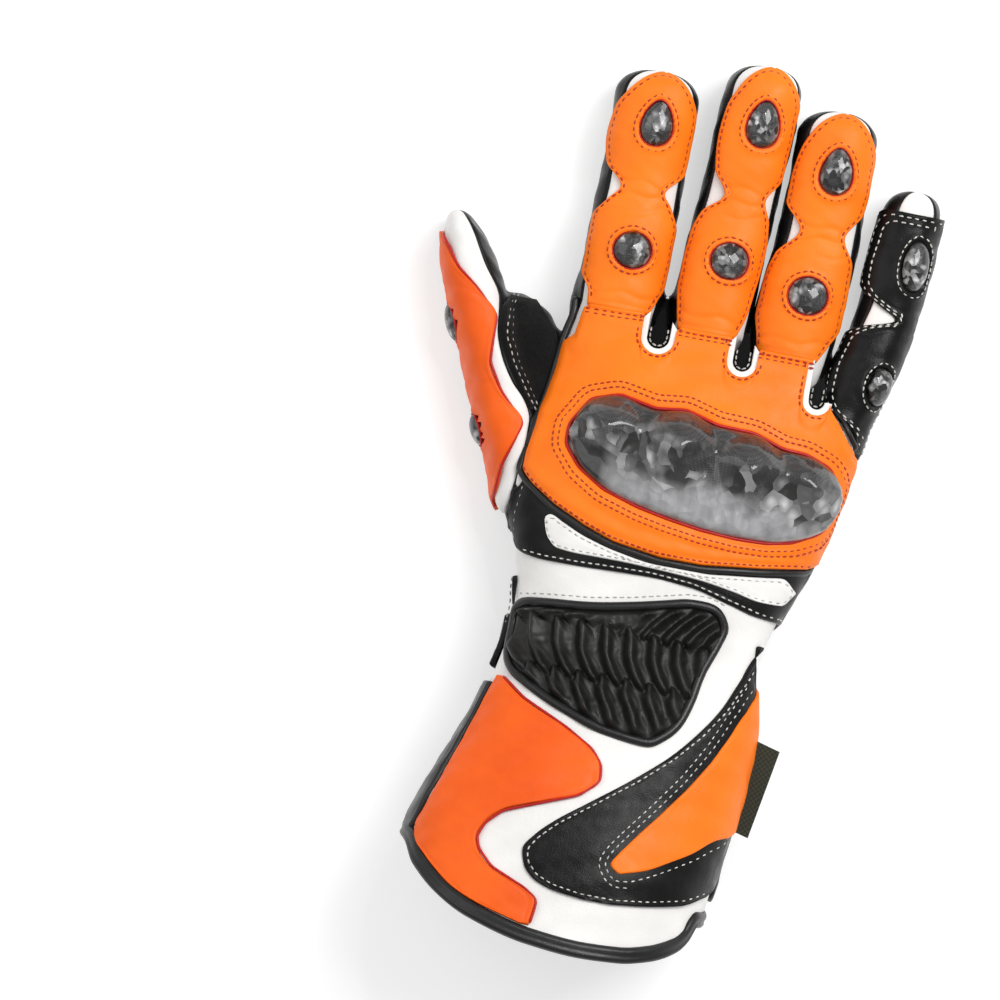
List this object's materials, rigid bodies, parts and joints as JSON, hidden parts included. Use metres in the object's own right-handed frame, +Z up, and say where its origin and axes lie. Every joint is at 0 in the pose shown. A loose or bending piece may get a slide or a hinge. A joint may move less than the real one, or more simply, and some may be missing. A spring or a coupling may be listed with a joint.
{
  "type": "motorcycle glove",
  "caption": "Right-hand leather gauntlet glove with armoured fingers, a hard knuckle guard, a ribbed wrist panel, a hook-and-loop wrist strap and a wide open cuff, lying palm down",
  "frame": {"origin": "middle of the bounding box, on the surface the glove lies on", "axes": "+X to the little-finger side, +Y to the fingertips, +Z up out of the back of the hand"},
  "size_m": [0.1642, 0.2984, 0.0769],
  "materials": {
    "black_leather": "semi-gloss",
    "white_leather": "semi-gloss",
    "orange_leather": "semi-gloss",
    "suede": "matte",
    "webbing": "matte",
    "clear_plastic": "gloss"
  },
  "bodies": {
    "root": {"back_leather": "white_leather", "palm_leather": "black_leather", "index_side_strip": "black_leather", "fourchette_index_middle": "black_leather", "fourchette_middle_ring": "black_leather", "fourchette_ring_pinky": "black_leather", "pinky_side_strip": "black_leather", "thumb_back": "white_leather", "thumb_palm": "black_leather", "cuff_back": "white_leather", "cuff_palm": "black_leather", "hem_binding": "black_leather", "index_panel": "orange_leather", "middle_panel": "orange_leather", "ring_panel": "orange_leather", "pinky_panel": "black_leather", "hand_panel": "orange_leather", "thumb_panel": "orange_leather", "crotch_patch": "suede", "wrist_band": "black_leather", "wrist_band_inset": "white_leather", "ribbed_panel": "black_leather", "cuff_side_panel": "orange_leather", "cuff_side_binding": "black_leather", "cuff_swoosh": "black_leather", "cuff_blade": "orange_leather", "closure_flap": "black_leather", "wrist_strap": "black_leather", "loop_patch": "webbing", "palm_patch": "suede", "heel_pad": "black_leather", "side_label": "webbing", "knuckle_guard": "clear_plastic", "index_dome_tip": "clear_plastic", "index_dome_mid": "clear_plastic", "middle_dome_tip": "clear_plastic", "middle_dome_mid": "clear_plastic", "ring_dome_tip": "clear_plastic", "ring_dome_mid": "clear_plastic", "pinky_dome_tip": "clear_plastic", "pinky_dome_base": "clear_plastic", "thumb_dome_tip": "clear_plastic", "thumb_dome_base": "clear_plastic"}
  },
  "joints": []
}
